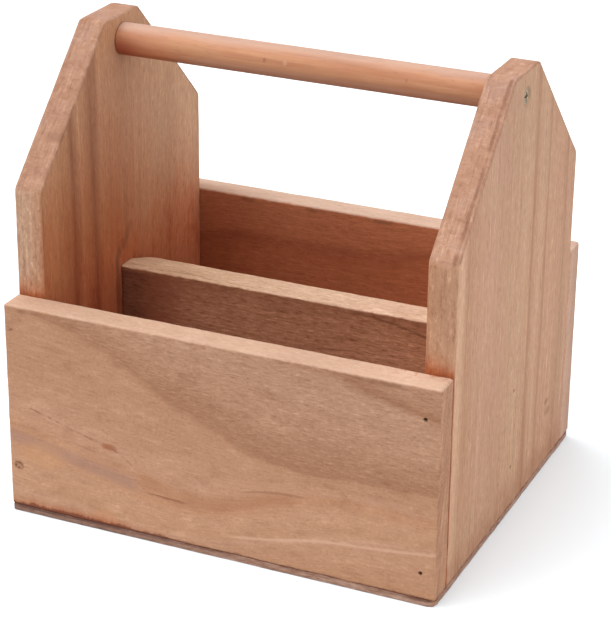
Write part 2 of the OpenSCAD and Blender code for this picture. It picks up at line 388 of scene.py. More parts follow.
def gable_half(z):
    """Half width of the gable at a height: upright side, arc of the shoulder, slope, arc of the top."""
    slope = END_HIGH[1] - (z - SHOULDER_Z) * SLOPE_RUN / SLOPE_RISE
    over_shoulder = z - SHOULDER_Z + SHOULDER_ARC
    over_peak = z - END_HIGH[2] + GABLE_CORNER_R

    def bulge(over):
        return np.sqrt(np.maximum(GABLE_CORNER_R ** 2 - over ** 2, 0))

    return np.select(
        [over_shoulder < 0,
         z < SHOULDER_Z + SHOULDER_ARC * SLOPE_RISE / SLOPE_LEN,
         z < END_HIGH[2] - PEAK_ARC * SLOPE_RISE / SLOPE_LEN],
        [np.full_like(z, END_HIGH[1]),
         END_HIGH[1] - GABLE_CORNER_R + bulge(over_shoulder),
         slope],
        GABLE_HALF_FLAT - PEAK_ARC + bulge(over_peak))


def gable(points):
    """Upright lattice bent to the gable: lines near the middle stay upright, lines near the edge
    stay parallel to it, and those between share what is left of the width at each height."""
    x, y, z = points.T
    out = np.abs(y)
    half = gable_half(z)
    lean = np.interp(z, [SHOULDER_Z - 2, SHOULDER_Z + 2], [1, SLOPE_LEN / SLOPE_RISE])
    rim = END_HIGH[1] - END_EASE
    across = np.where(
        out > rim, half - (END_HIGH[1] - out) * lean,
        GABLE_CORE + (out - GABLE_CORE) * (half - END_EASE * lean - GABLE_CORE) / (rim - GABLE_CORE))
    return np.stack([x, np.sign(y) * np.where(out > GABLE_CORE, across, out), z], 1)


def end_mesh(end, side):
    """Gabled panel of the left or right end (side -1 or 1) with its nail holes and countersink. Both
    are made on the right, and the left one is then turned over."""
    holes = nail_spots(f"divider_{end}_nails", 2)
    sink = np.mean(box_mm(f"{end}_handle_screw"), axis=0)
    y_lines = np.concatenate([
        board_lines(END_LOW[1], END_HIGH[1], END_EASE, END_STEP, [holes[0][1]], NAIL_RINGS),
        -SINK_RINGS, SINK_RINGS])
    z_lines = np.concatenate([
        board_lines(END_LOW[2], END_HIGH[2], END_EASE, END_STEP, holes[:, 2], NAIL_RINGS),
        sink[2] - SINK_RINGS, sink[2] + SINK_RINGS,
        np.linspace(SHOULDER_Z - SHOULDER_ARC, SHOULDER_Z + SHOULDER_ARC, 7)])
    block, faces = lattice_skin(
        board_lines(END_LOW[0], END_HIGH[0], END_EASE, END_STEP_THICK),
        np.unique(np.round(y_lines, 3)), np.unique(np.round(z_lines, 3)))
    outer = block[:, 0] == END_HIGH[0]
    bent = round_rings(block, [1, 2], holes, *NAIL_ROUND)
    bent = round_rings(bent, [1, 2], [sink], *SINK_ROUND)
    worn = END_EASE * (0.8 + 0.2 * wander(block[:, 2] + 3 * block[:, 1] * side, 11 + side, 70, 9))
    points = eased(bent, worn[:, None], gable)
    dents = END_DENT * (1 + wander(block[:, 2] * 1.3 + block[:, 1], 21 + side, 50, 6))
    points[:, 1] -= np.sign(block[:, 1]) * dents * (np.abs(block[:, 1]) > END_HIGH[1] - 0.01)
    points[:, 0] -= outer * hole_depth(bent, [1, 2], holes, *NAIL_HOLE)
    points[:, 0] -= outer * hole_depth(bent, [1, 2], [sink], *SINK_HOLE)
    points[:, 0] *= side
    return points, faces if side > 0 else faces[:, ::-1]


def vector(x, y, z):
    """Vector wire of three wires or numbers, the first of them a wire."""
    return x.node("ShaderNodeCombineXYZ", (), {0: x, 1: y, 2: z})


def moved(place, by):
    """Place moved by a vector, so that no two pieces share their noise."""
    return place.node("ShaderNodeVectorMath", {"operation": "ADD"}, {0: place, 1: by})


def oval(u, v, at_u, at_v, half_u, half_v):
    """Squared distance from a centre in two directions, which is 1 on the oval of the half widths."""
    across, up = (u - at_u) / half_u, (v - at_v) / half_v
    return across * across + up * up


def cast(coat, share, factors):
    """Multiplies a coat's colour by three factors, by a share."""
    coat.colour = blend(share, coat.colour, factors, "MULTIPLY")


DARKER, PALER = (0.60, 0.49, 0.42), (1.37, 1.50, 1.59)


def work_grain(coat, *layers):
    """Lays grain over a coat's colour: each noise darkens the wood where it is high and pales it
    where it is low, by its share."""
    for layer, share in layers:
        cast(coat, rise(layer, 0.52, 0.75) * share, DARKER)
        cast(coat, rise(layer, 0.47, 0.26) * share, PALER)


def upright_grain(name, bands, seed):
    """Starts a wood with upright grain: a ramp of bands across the panel, wandering a little with
    height, and noises drawn out along Z."""
    wood = start_finish(name, Specular_IOR_Level=0.22)
    shifted = moved(wood.place, (seed * 31.0, seed * 57.0, seed * 13.0))
    sway = noise(shifted, (90.0, 90.0, 140.0), 1) - 0.5
    across = wood.y + sway * 12 + (noise(shifted, (30.0, 7.0, 160.0), 2) - 0.5) * 6
    grain = vector(wood.x * 0.5 + seed * 40, across + seed * 90, wood.z)
    half = PLY_HIGH[1]
    stops = [((at + half) / (2 * half), *shade) for at, *shade in bands]
    wood.colour = ramp((across + half) / (2 * half), *stops)
    wood.streaks = noise(grain, (6.0, 2.6, 120.0), 3, 0.65)
    wood.fibres = noise(grain, (1.6, 1.2, 13.0), 4, 0.7)
    wood.ticks = noise(grain, (1.1, 1.1, 5.0), 3, 0.7)
    wood.flecks = noise(shifted, (1.3, 1.5, 3.2), 3, 0.75)
    wood.edge_lines = noise(shifted, (1.7, 30.0, 34.0), 3, 0.65)
    wood.cloud = noise(shifted, (50.0, 38.0, 70.0), 2)
    wood.blotch = noise(shifted, (16.0, 9.0, 20.0), 3, 0.6)
    return wood


def weather_faces(wood, red_foot, inside_shade):
    """Faces of a panel: clouded, with a red foot. Inside the box painted shade makes the wood a darker,
    deeper red towards the bottom and the front, and outside the right panel has greyed towards its top."""
    cloud, blotch = wood.cloud - 0.5, wood.blotch - 0.5
    tint(wood, rise(wood.cloud, 0.45, 0.8) * 0.4, (186, 148, 116))
    foot = rise(wood.z + cloud * 30 + blotch * 36, 28.0, 6.0)
    tint(wood, foot * red_foot, (160, 108, 78))
    inner = rise(abs(wood.x), END_LOW[0] + 3, END_LOW[0] + 0.4)
    level = wood.z + cloud * 40 + (wood.streaks - 0.5) * 20 + blotch * 26
    # painted shade: darker and redder low inside the box and towards the front
    painted_inner_shade = rise(level + rise(wood.y, -40.0, 60.0) * 40, 232.0, 132.0)
    cast(wood, inner * painted_inner_shade * inside_shade, (0.80, 0.44, 0.25))
    painted_low_shade = inner * rise(level, 146.0, 106.0) * inside_shade
    cast(wood, painted_low_shade, (1.04, 0.86, 0.86))
    cast(wood, painted_low_shade * rise(wood.blotch, 0.5, 0.36) * 0.75, (0.82, 0.62, 0.54))
    outside = rise(wood.x, END_HIGH[0] - 5, END_HIGH[0] - 1)
    cast(wood, outside * rise(wood.z, 150.0, 225.0) * 0.5, (0.90, 0.92, 0.94))


def stain_edges(wood, edge_tone, rough_edge):
    """Upright edges of a panel: toned, redder towards the inside the rougher they are, and stained red
    just above the boards."""
    cloud, blotch = wood.cloud - 0.5, wood.blotch - 0.5
    wood.edge = rise(abs(wood.y) + (wood.fibres - 0.5) * 0.9, END_HIGH[1] - 1.4, END_HIGH[1] - 0.2)
    tint(wood, wood.edge * 0.6, edge_tone)
    inward = rise(abs(wood.x), END_HIGH[0] - 5, END_LOW[0] + 1)
    cast(wood, wood.edge * inward * rough_edge, (0.93, 0.78, 0.67))
    stain = rise(wood.z + cloud * 14 + blotch * 16, BOARD_TOP + 14, BOARD_TOP - 2)
    tint(wood, wood.edge * stain * 0.7, (172, 96, 56))
    deep_stain = rise(wood.z + blotch * 10, BOARD_TOP + 6, BOARD_TOP)
    tint(wood, wood.edge * deep_stain * 0.75, (150, 74, 34))


def saw_slopes(wood, seed, rough_edge, slope_line):
    """Sawn slopes and top: pinkish and fuzzy, streaked along their length, with torn spots and a
    dark broken line near the outer arris. The panel's grain is laid over them, and is calmer there."""
    x, y, z = wood.x, wood.y, wood.z
    inside = (END_HIGH[1] - abs(y)) * (SLOPE_RISE / SLOPE_LEN)
    inside = inside - (z - SHOULDER_Z) * (SLOPE_RUN / SLOPE_LEN)
    along = (z * SLOPE_RISE - abs(y) * SLOPE_RUN) / SLOPE_LEN
    fray = noise(wood.place, (6.0, 4.0, 4.0), 3, 0.65) - 0.5
    slope = rise(inside + fray * 4.0, 2.4, 0.6) * rise(z, SHOULDER_Z - 2, SHOULDER_Z + 1)
    top = rise(z + fray * 2.0, END_HIGH[2] - 1.6, END_HIGH[2] - 0.4)
    sawn = slope.math("MAXIMUM", slope, top)
    lines = noise(vector(x, along + seed * 70, inside * 0.2), (1.6, 13.0, 4.0), 3, 0.65)
    sawn_tone = ramp(wood.blotch, (0.35, 153, 111, 89), (0.5, 165, 124, 101), (0.65, 159, 122, 105))
    tint(wood, sawn * 0.85, sawn_tone)
    calm = 1 - sawn * 0.45
    work_grain(
        wood, (wood.streaks, 0.4), (wood.fibres, calm * 0.48),
        (wood.ticks, calm * (wood.edge * (rough_edge * 0.3) + 0.58)),
        (wood.flecks, wood.edge * (rough_edge * 0.5) + 0.2),
        (wood.edge_lines, wood.edge * 0.45), (lines, sawn * 0.7))
    torn = rise(wood.flecks, 0.4, 0.3) * rise(noise(wood.place, (9.0, 9.0, 9.0), 2), 0.46, 0.62)
    tint(wood, torn * slope * rise(z, 232.0, 190.0) * 0.55, (216, 186, 168))
    dark_line_breaks = rise(noise(vector(along, seed * 9, 0.0), (16.0, 9.0, 9.0), 2), 0.34, 0.56)
    line = rise(abs(abs(x) - (END_HIGH[0] - 2.6) + fray * 2.4), 1.5, 0.4)
    tint(wood, line * dark_line_breaks * slope * slope_line, (112, 70, 50))
    wood.relief = wood.fibres * 0.5 + wood.ticks * 0.3 + wood.streaks * 0.3 + lines * sawn * 0.6


def upright_wood(name, bands, seed, edge_tone, rough_edge, red_foot, inside_shade, slope_line, knots_and_shade, dark_oval_face):
    """Wood of an end panel: weathered faces, stained edges and sawn slopes, then soft dark ovals of
    knots and painted shade that show from dark_oval_face's first to second place, and a greyish torn
    ring round the screw."""
    wood = upright_grain(name, bands, seed)
    weather_faces(wood, red_foot, inside_shade)
    stain_edges(wood, edge_tone, rough_edge)
    saw_slopes(wood, seed, rough_edge, slope_line)
    # the ovals are knots, and on the left panel also the painted shadow at the divider's end
    for *spot, share in knots_and_shade:
        dark_oval = rise(oval(wood.y, wood.z, *spot) + (wood.fibres - 0.5) * 1.6, 1.0, 0.1)
        tint(wood, dark_oval * rise(abs(wood.x), *dark_oval_face) * share, (112, 70, 48))
    out = oval(wood.y, wood.z, 0, SCREW_Z, 1, 1)
    ring = rise(abs(out.math("SQRT", out) - 4.9 + (wood.flecks - 0.5) * 4.0), 1.6, 0.3)
    tint(wood, ring * rise(abs(wood.x), END_HIGH[0] - 1.5, END_HIGH[0] - 0.5) * 0.4, (150, 124, 100))
    close_finish(wood, wood.relief, 0.00025, 0.58 + wood.fibres * 0.22)
    return wood


# bands of colour from the front to the back of each panel
RIGHT_BANDS = [
    (-100, 190, 142, 110), (-88, 212, 167, 136), (-78, 188, 141, 110), (-48, 200, 154, 126),
    (-30, 193, 147, 119), (-10, 195, 151, 121), (10, 198, 155, 124), (18, 194, 148, 117),
    (21, 172, 124, 94), (25, 194, 148, 117), (34, 202, 158, 128), (41, 194, 148, 118),
    (43, 175, 127, 97), (46, 196, 150, 120), (64, 196, 149, 119), (73, 190, 143, 114),
    (76, 175, 128, 99), (79, 192, 146, 118), (100, 194, 148, 120)]
LEFT_BANDS = [
    (-100, 178, 134, 104), (-80, 188, 144, 110), (-65, 176, 130, 98), (-59, 146, 98, 70),
    (-51, 186, 140, 107), (-42, 172, 124, 92), (-37, 150, 102, 74), (-28, 184, 136, 103),
    (0, 180, 132, 100), (30, 192, 148, 115), (55, 190, 147, 114), (76, 206, 163, 130),
    (100, 204, 160, 128)]

# a knot that bends up from behind the divider, and a painted shadow down the divider's end, as soft
# ovals: centre, half widths and share
BENT_KNOT_AND_SHADE = [
    (4, 131, 3.5, 5, 0.25), (0, 127.5, 3.5, 5, 0.38), (-4, 123.5, 4, 4.5, 0.5),
    (-9.5, 120, 3.5, 5, 0.58), (-12.3, 114, 2.5, 7, 0.58), (-12, 95, 3, 24, 0.58)]
FACE_IN, FACE_OUT = END_LOW[0] + 4, END_HIGH[0] - 4

right_end = upright_wood(
    "right_end_hardwood", RIGHT_BANDS, seed=1.0, edge_tone=(170, 125, 98), rough_edge=0.32,
    red_foot=0.48, inside_shade=0.5, slope_line=0.6, dark_oval_face=(FACE_IN, FACE_OUT),
    knots_and_shade=[(62, 43, 4, 2.2, 0.5), (65, 36, 6, 3, 0.35)])
left_end = upright_wood(
    "left_end_hardwood", LEFT_BANDS, seed=2.0, edge_tone=(190, 152, 128), rough_edge=0.7,
    red_foot=0.3, inside_shade=0.8, slope_line=0.15, dark_oval_face=(FACE_OUT, FACE_IN),
    knots_and_shade=[(-70, 207, 5, 3, 0.35), *BENT_KNOT_AND_SHADE])

put_piece("right_end_panel_wood", *end_mesh("right", 1), right_end, "end_wood", "box", "right_end_panel")
put_piece("left_end_panel_wood", *end_mesh("left", -1), left_end, "end_wood", "box", "left_end_panel")


# Front and back boards
# Two flat-sawn boards of the same hardwood, grain lengthwise, planed and lightly sanded. They lap
# the end panels' edges and are held by two set nails at each end.

BOARD_EASE = 2.0
BOARD_STEP, BOARD_STEP_THICK = 2.5, 2.0
FRONT_LOW, FRONT_HIGH = box_mm("front_board")
BACK_LOW, BACK_HIGH = box_mm("back_board")


def board_mesh(side, face, seed, left_open=1.0):
    """Front or back board with eased, wavering arrises and a nail hole at each corner of the face
    that looks out (-1 front, 1 back). Torn fibres fill the left holes but for the share left_open."""
    low, high = box_mm(f"{side}_board")
    nails = np.concatenate([nail_spots(f"{side}_{end}_nails", 2) for end in ("left", "right")])
    columns = np.unique(np.round(nails[:, 0], 2))
    block, faces = lattice_skin(
        board_lines(low[0], high[0], BOARD_EASE, BOARD_STEP, columns, NAIL_RINGS),
        board_lines(low[1], high[1], BOARD_EASE, BOARD_STEP_THICK),
        board_lines(low[2], high[2], BOARD_EASE, BOARD_STEP, nails[:, 2], NAIL_RINGS))
    outer = block[:, 1] == (low[1] if face < 0 else high[1])
    bent = round_rings(block, [0, 2], nails, *NAIL_ROUND)
    path = block[:, 0] + 0.5 * block[:, 1] + 2 * block[:, 2]
    worn = BOARD_EASE * (0.72 + 0.28 * wander(path, seed, 60, 10))
    points = eased(bent, worn[:, None])
    depth = hole_depth(bent, [0, 2], nails, *NAIL_HOLE)
    points[:, 1] -= face * outer * depth * np.where(block[:, 0] < 0, left_open, 1)
    return points, faces


CURVE_LONG, CURVE_HIGH = FRONT_HIGH[0] - FRONT_LOW[0], 160.0
OUTER_STEP = 30.0


def ring_line(x, points):
    """Height in millimetres of one growth line over x, as a smooth curve through a few points."""
    along = (x + CURVE_LONG / 2) / CURVE_LONG
    curve = along.node("ShaderNodeFloatCurve", (), {"Value": along})
    mapping = curve.socket.node.mapping
    places = [(at / CURVE_LONG + 0.5, height / CURVE_HIGH) for at, height in points]
    for place in places[2:]:
        mapping.curves[0].points.new(*place)
    for point, place in zip(mapping.curves[0].points, places):
        point.location = place
    mapping.update()
    return curve * CURVE_HIGH


def growth_figure(x, height, lines):
    """Number of the growth line at a height over x: 0 on the lowest line, 1 on the next, and by the
    share of the gap between two. Beyond the outer lines it goes on by 1 for each OUTER_STEP."""
    curves = [ring_line(x, line) for line in lines]
    under = (height - curves[0]) / OUTER_STEP
    figure = under.math("MINIMUM", under, 0.0)
    for below, above in zip(curves, curves[1:]):
        step = (height - below) / (above - below)
        figure = figure + step.node("ShaderNodeClamp", (), {"Value": step})
    over = (height - curves[-1]) / OUTER_STEP
    return figure + over.math("MAXIMUM", over, 0.0)


def stroke(wood, points, half, start, stop):
    """Share of a soft stroke along a curve, with the given half width, from its start to its stop in
    x. Its edges ravel with the fibres."""
    height = wood.z + (wood.fibres - 0.5) * 2.4
    near = rise(abs(height - ring_line(wood.x, points)), half, half * 0.2)
    return near * rise(wood.x, start - 6.0, start + 3.0) * rise(wood.x, stop + 6.0, stop - 3.0)


def lengthwise_grain(name, lines, shades, seed, ripple):
    """Starts a wood with lengthwise grain: a ramp colours it by the number of its growth line, streaks
    follow those lines, and fibres, specks and dashes are drawn out along X."""
    wood = start_finish(name, Specular_IOR_Level=0.22)
    x, y, z = wood.x, wood.y, wood.z
    shifted = moved(wood.place, (seed * 37.0, seed * 11.0, seed * 53.0))
    drift = (noise(shifted, (70.0, 30.0, 26.0), 2) - 0.5) * 9
    drift = drift + (noise(shifted, (16.0, 8.0, 2.6), 2) - 0.5) * 2.4
    figure = growth_figure(x, z + drift, lines)
    count = len(lines) + 1
    stops = [((at + 1) / count, *shade) for at, *shade in shades]
    wood.colour = ramp((figure + 1) / count, *stops)
    flow = vector(x + seed * 70, y * 0.6, figure * 24 + z * 0.35 + seed * 20)
    straight = vector(x + seed * 90, y, z + drift * 0.4)
    wood.streaks = noise(flow, (95.0, 7.0, 1.5), 3)
    wood.fine_lines = noise(flow, (30.0, 5.0, 0.9), 3, 0.65)
    wood.mottle = noise(straight, (13.0, 8.0, 6.0), 3)
    wood.fibres = noise(straight, (7.0, 1.6, 1.1), 4, 0.7)
    wood.specks = noise(straight, (1.9, 1.6, 1.35), 4, 0.75)
    wood.dashes = noise(straight, (4.5, 1.2, 0.9), 2)
    wood.rippled = rise(figure, *ripple)
    cloud = noise(shifted, (55.0, 30.0, 34.0), 2)
    cast(wood, rise(cloud, 0.42, 0.8) * 0.3, (1.2, 1.24, 1.26))
    return wood


def darken_ends(wood, half):
    """End grain of a board that reaches half to either side: darker, in slanting rays."""
    x, y, z = wood.x, wood.y, wood.z
    rays = noise(vector(x, y - z * 0.18, z + y * 0.18), (3.0, 2.2, 34.0), 4, 0.65)
    end_tone = ramp(rays, (0.3, 154, 106, 79), (0.55, 186, 138, 107), (0.75, 204, 158, 127))
    tint(wood, rise(abs(x), half - 0.9, half - 0.1) * 0.92, end_tone)


def lengthwise_wood(name, node, lines, shades, seed, ripple, top_tone, grain, fray=1.4):
    """Wood of a lengthwise board: pale on the top edge, with a broken dark line where the arris has
    torn out along the front. The grain gives the shares of streaks, fine lines, mottle, fibres,
    specks, and the dashes that come in over the growth lines of the ripple."""
    wood = lengthwise_grain(name, lines, shades, seed, ripple)
    low, high = box_mm(node)
    darken_ends(wood, high[0])
    ragged = (noise(wood.place, (6.0, 30.0, 30.0), 3, 0.7) - 0.5) * fray
    top = rise(wood.z + ragged, high[2] - 1.3, high[2] - 0.4)
    tint(wood, top * 0.72, top_tone)
    calm = 1 - top * 0.45
    layers = wood.streaks, wood.fine_lines, wood.mottle, wood.fibres, wood.specks, wood.dashes
    shares = [calm * share for share in (*grain[:5], wood.rippled * grain[5])]
    work_grain(wood, *zip(layers, shares))
    torn = rise(noise(wood.place, (26.0, 30.0, 30.0), 3, 0.7), 0.48, 0.62)
    line = rise(abs(wood.z + ragged * 1.3 - (high[2] - 2.4)), 1.6, 0.3)
    tint(wood, line * rise(abs(wood.y - low[1]), 1.8, 0.6) * torn * 0.6, (136, 92, 67))
    wood.relief = wood.fibres * 0.5 + wood.fine_lines * 0.3 + wood.specks * 0.2
    wood.relief = wood.relief - wood.dashes * wood.rippled * 0.3
    return wood


# growth lines as (x, height) points, and the shades between them by the number of the line
FRONT_LINES = [
    [(-125, 14), (-80, 9), (-40, 7), (0, 10), (25, 15), (50, 22), (75, 26.5), (125, 31)],
    [(-125, 48), (-90, 42), (-60, 34), (-35, 29), (-12, 28), (10, 33), (35, 43), (60, 47.5), (125, 49)],
    [(-125, 126), (-95, 119), (-60, 105), (-30, 88), (0, 75), (22, 64), (45, 61), (80, 62.5), (125, 65)],
    [(-125, 158), (-60, 154), (0, 139), (40, 124), (65, 120.5), (85, 116), (105, 110), (125, 105)]]
FRONT_SHADES = [
    (-1, 189, 140, 107), (-0.12, 191, 144, 114), (0.02, 196, 150, 121), (0.2, 192, 145, 113),
    (0.62, 195, 148, 117), (0.9, 190, 140, 108), (1.02, 187, 137, 105), (1.22, 191, 144, 115),
    (1.5, 185, 138, 108), (1.94, 183, 136, 106), (2.04, 165, 119, 90), (2.18, 171, 126, 97),
    (2.4, 180, 136, 108), (2.93, 182, 139, 111), (3.05, 157, 110, 82), (3.2, 171, 126, 98),
    (3.6, 181, 137, 110)]
# soft strokes of the figure: curve, half width, start, stop, shade and share
FRONT_STROKES = [
    ([(-125, 46), (-60, 42), (-45, 38), (-20, 31), (0, 32), (20, 38), (50, 46), (125, 50)],
     6.5, -44, 44, (170, 114, 82), 0.42),
    ([(-125, 30), (0, 38), (15, 42.5), (30, 46), (50, 47.5), (125, 48)],
     1.1, 18, 50, (146, 98, 70), 0.5),
    ([(-125, 47), (-90, 41), (-50, 33), (-30, 30), (125, 30)], 6.0, -125, -48, (168, 130, 116), 0.5),
    ([(-125, 0), (10, 15), (35, 19), (60, 24), (90, 27), (125, 31)], 1.4, 10, 125, (216, 174, 146), 0.6),
    ([(-125, 34), (-38, 29.5), (-18, 28.5), (125, 20)], 0.9, -37, -19, (134, 86, 60), 0.7)]
# a dark gum streak that runs down to a small lens-shaped knot, and two patches of orange
GUM_LINE = [(-125, 69), (-112, 65.5), (-95, 60.5), (-80, 56), (-63, 52), (-52, 46), (-40, 38), (125, 10)]
FRONT_PATCHES = [
    (-63, 52, 5.6, 2.2, (156, 92, 60), 0.75), (-105, 38, 16, 9, (206, 150, 104), 0.35),
    (-67, 8, 9, 6, (206, 138, 88), 0.32)]
# torn fibres over the left nails
TORN_FIBRES = [(-119.6, 28.8, 4.2, 3.4, 0.8), (-123.0, 110, 4.4, 1.8, 0.45)]

front = lengthwise_wood(
    "front_board_hardwood", "front_board", FRONT_LINES, FRONT_SHADES, seed=1.0, ripple=(1.95, 2.1),
    top_tone=(194, 161, 138), grain=(0.1, 0.22, 0.3, 0.32, 0.55, 0.45))
place, x, y, z, fibres = front.place, front.x, front.y, front.z, front.fibres
upper = rise(z, FRONT_HIGH[2] - 0.8, FRONT_HIGH[2] - 0.2)
cast(front, rise(x, 40.0, 115.0) * upper * 0.2, PALER)
# specks of the panels' red stain on the top where the right panel stands behind it
specks = rise(noise(place, (4.0, 3.0, 9.0), 3, 0.7), 0.54, 0.64)
specks = specks * rise(y, FRONT_LOW[1] + 4, FRONT_HIGH[1] - 2)
tint(front, specks * upper * rise(x, 84.0, 104.0) * 0.6, (164, 88, 46))
fore = rise(y, FRONT_LOW[1] + 1.4, FRONT_LOW[1] + 0.4)
fore = fore * rise(abs(x), FRONT_HIGH[0] - 0.1, FRONT_HIGH[0] - 1.0)
for *line, shade, share in FRONT_STROKES:
    tint(front, stroke(front, *line) * fore * share, shade)
broken = 0.15 + rise(noise(place, (5.0, 40.0, 5.0), 3), 0.42, 0.6) * 0.85
gum = stroke(front, GUM_LINE, 1.0, -113, -52)
tint(front, gum * fore * broken * 0.6, (130, 84, 58))
for *spot, shade, share in FRONT_PATCHES:
    away = oval(x, z, *spot) + (fibres - 0.5) * 1.2
    tint(front, rise(away, 1.2, 0.1) * share, shade)
# a dark broken rim about a paler middle at the left nails, dark holes at the right ones
patchy = noise(place, (1.7, 1.7, 1.7), 2) - 0.5
for *spot, share in TORN_FIBRES:
    away = oval(x, z, *spot) + patchy * 1.6
    tint(front, rise(away, 1.1, 0.2) * share * 0.45, (148, 100, 72))
    rim = rise(abs(away - 0.35), 0.3, 0.04) * rise(patchy, -0.2, 0.1)
    tint(front, rim * share, (104, 64, 44))
for nail in nail_spots("front_right_nails", 2):
    away = oval(x, z, nail[0], nail[2], 1, 1) + patchy * 1.6
    tint(front, rise(away, 1.8, 0.6) * fore * 0.9, (84, 46, 28))
# the lower arris is splintered and stained red where it meets the plywood, most at the left, with dark
# painted shade of the joint along its foot
splinter = (noise(place, (9.0, 30.0, 30.0), 5, 0.8) - 0.5) * 7.0
left_foot = rise(x, -10.0, -70.0)
foot_top = left_foot * 1.4 + (FRONT_LOW[2] + 1.4)
rust = rise(z + splinter * 1.4, foot_top + 3.5, foot_top - 1.0)
tint(front, rust * (left_foot * 0.4 + 0.1), (172, 96, 58))
# painted shade of the joint between the board and the plywood
foot = rise(z + splinter, foot_top, foot_top - 1.3)
tint(front, foot * (left_foot * 0.25 + 0.6), (124, 62, 40))
close_finish(front, front.relief, 0.00018, 0.56 + fibres * 0.24)

EVEN_STEPS = -125, -60, 0, 60, 125
BACK_HEIGHTS = (20, 26, 24, 30, 38), (58, 66, 60, 64, 74), (92, 98, 100, 108, 112)
BACK_LINES = [list(zip(EVEN_STEPS, heights)) for heights in BACK_HEIGHTS]
BACK_SHADES = [
    (-1, 192, 118, 80), (0.0, 174, 102, 68), (0.1, 198, 124, 86), (0.9, 188, 112, 74),
    (1.0, 172, 100, 66), (1.15, 194, 118, 80), (1.8, 184, 108, 72), (2.0, 170, 98, 66),
    (2.2, 190, 116, 80), (3.0, 196, 126, 90)]

back = lengthwise_wood(
    "back_board_hardwood", "back_board", BACK_LINES, BACK_SHADES, seed=3.0, ripple=(-1.0, 0.0),
    top_tone=(200, 178, 160), grain=(0.2, 0.25, 0.14, 0.36, 0.36, 0.42))
# inside the box painted shadow of the left panel darkens the left of the board, and painted light pales
# the right
x = back.x
inward = rise(back.y, BACK_HIGH[1] - 4, BACK_LOW[1] + 2)
cast(back, rise(x, -40.0, -112.0) * inward * 0.73, DARKER)
cast(back, rise(x, 20.0, 90.0) * inward * 0.7, PALER)
# the right end is painted pale for the white surround at its edge
tint(back, rise(x, BACK_HIGH[0] - 0.8, BACK_HIGH[0] - 0.1) * 0.45, (198, 168, 152))
close_finish(back, back.relief, 0.00018, 0.56 + back.fibres * 0.24)

front_mesh = board_mesh("front", -1, 31, left_open=0.3)
back_mesh = board_mesh("back", 1, 32)
put_piece("front_board_wood", *front_mesh, front, "board_wood", "box", "front_board")
put_piece("back_board_wood", *back_mesh, back, "board_wood", "box", "back_board")


# Divider
# A thicker board of the same hardwood standing lengthwise on the bottom panel between the end
# panels, rougher than the rest, with its top arrises knocked off by hand.

DIVIDER_EASE, DIVIDER_END_EASE = 2.0, 0.6
KNOCKED_OFF = np.array([16.0, 7.0, 11.5])
KNOCKED_DEEP = 3.0
RAGGED_WIDE, RAGGED_HIGH, RAGGED_DEEP = 2.5, 3.0, 0.4
DIV_LOW, DIV_HIGH = box_mm("divider")

block, divider_faces = lattice_skin(
    board_lines(DIV_LOW[0], DIV_HIGH[0], DIVIDER_END_EASE, BOARD_STEP),
    board_lines(DIV_LOW[1], DIV_HIGH[1], DIVIDER_EASE, BOARD_STEP_THICK),
    board_lines(DIV_LOW[2], DIV_HIGH[2], DIVIDER_EASE, BOARD_STEP))
path = block[:, 0] + 0.8 * block[:, 1] + 3 * block[:, 2]
worn = DIVIDER_EASE * (0.66 + 0.34 * wander(path, 41, 55, 10))
divider_points = eased(block, worn[:, None])
# the top left corner at the back is rounded off, and the front arris is ragged
corner = np.array([DIV_LOW[0], DIV_HIGH[1], DIV_HIGH[2]])
near_left, near_back, near_top = np.clip(1 - np.abs(block - corner) / KNOCKED_OFF, 0, 1).T
divider_points[:, 2] -= KNOCKED_DEEP * near_left ** 2 * near_back * near_top
front_top = (block[:, 1] < DIV_LOW[1] + RAGGED_WIDE) & (block[:, 2] > DIV_HIGH[2] - RAGGED_HIGH)
divider_points[:, 2] -= front_top * RAGGED_DEEP * np.clip(wander(block[:, 0], 43, 18, 6), 0, 1)

DIVIDER_HEIGHTS = (30, 24, 30, 28, 22), (70, 72, 66, 74, 70), (112, 110, 108, 112, 100)
DIVIDER_LINES = [list(zip(EVEN_STEPS, heights)) for heights in DIVIDER_HEIGHTS]
DIVIDER_SHADES = [
    (-1, 172, 116, 86), (0.0, 158, 102, 74), (0.12, 180, 124, 94), (0.95, 170, 114, 84),
    (1.0, 154, 100, 72), (1.2, 178, 124, 95), (1.7, 170, 116, 87), (2.0, 156, 102, 75),
    (3.0, 180, 130, 102)]
DIPPING_LINE = [(-125, 118), (10, 112), (40, 109), (60, 106), (80, 101), (125, 80)]

divider = lengthwise_wood(
    "divider_hardwood", "divider", DIVIDER_LINES, DIVIDER_SHADES, seed=5.0, ripple=(-1.0, 0.0),
    top_tone=(226, 192, 164), grain=(0.4, 0.6, 0.3, 0.8, 0.7, 0.8), fray=1.3)
x, y, z = divider.x, divider.y, divider.z
# painted shadow of the left panel darkens the left end, which has a red margin, and painted light pales
# the right end
face = rise(z, DIV_HIGH[2] - 1, DIV_HIGH[2] - 4)
cast(divider, rise(x, -64.0, -100.0) * face, (0.52, 0.43, 0.42))
tint(divider, rise(abs(x + 82), 20.0, 4.0) * face * 0.35, (156, 84, 54))
cast(divider, rise(x, 10.0, 70.0) * face * 0.3, (1.34, 1.40, 1.28))
# the top is darker and yellower towards the left
cast(divider, rise(x, 30.0, -90.0) * (1 - face) * 0.7, (0.93, 0.89, 0.78))
# torn fibres on the top beside the front arris, most at the left
tear = noise(divider.place, (14.0, 3.0, 30.0), 3, 0.65)
torn = rise(tear, 0.46, 0.58) * rise(x, 10.0, -50.0)
for inset in (2.6, 4.4):
    line = rise(abs(y - DIV_LOW[1] - inset + (tear - 0.5) * 2.0), 0.6, 0.1) * (1 - face)
    tint(divider, line * torn * 0.65, (132, 86, 58))
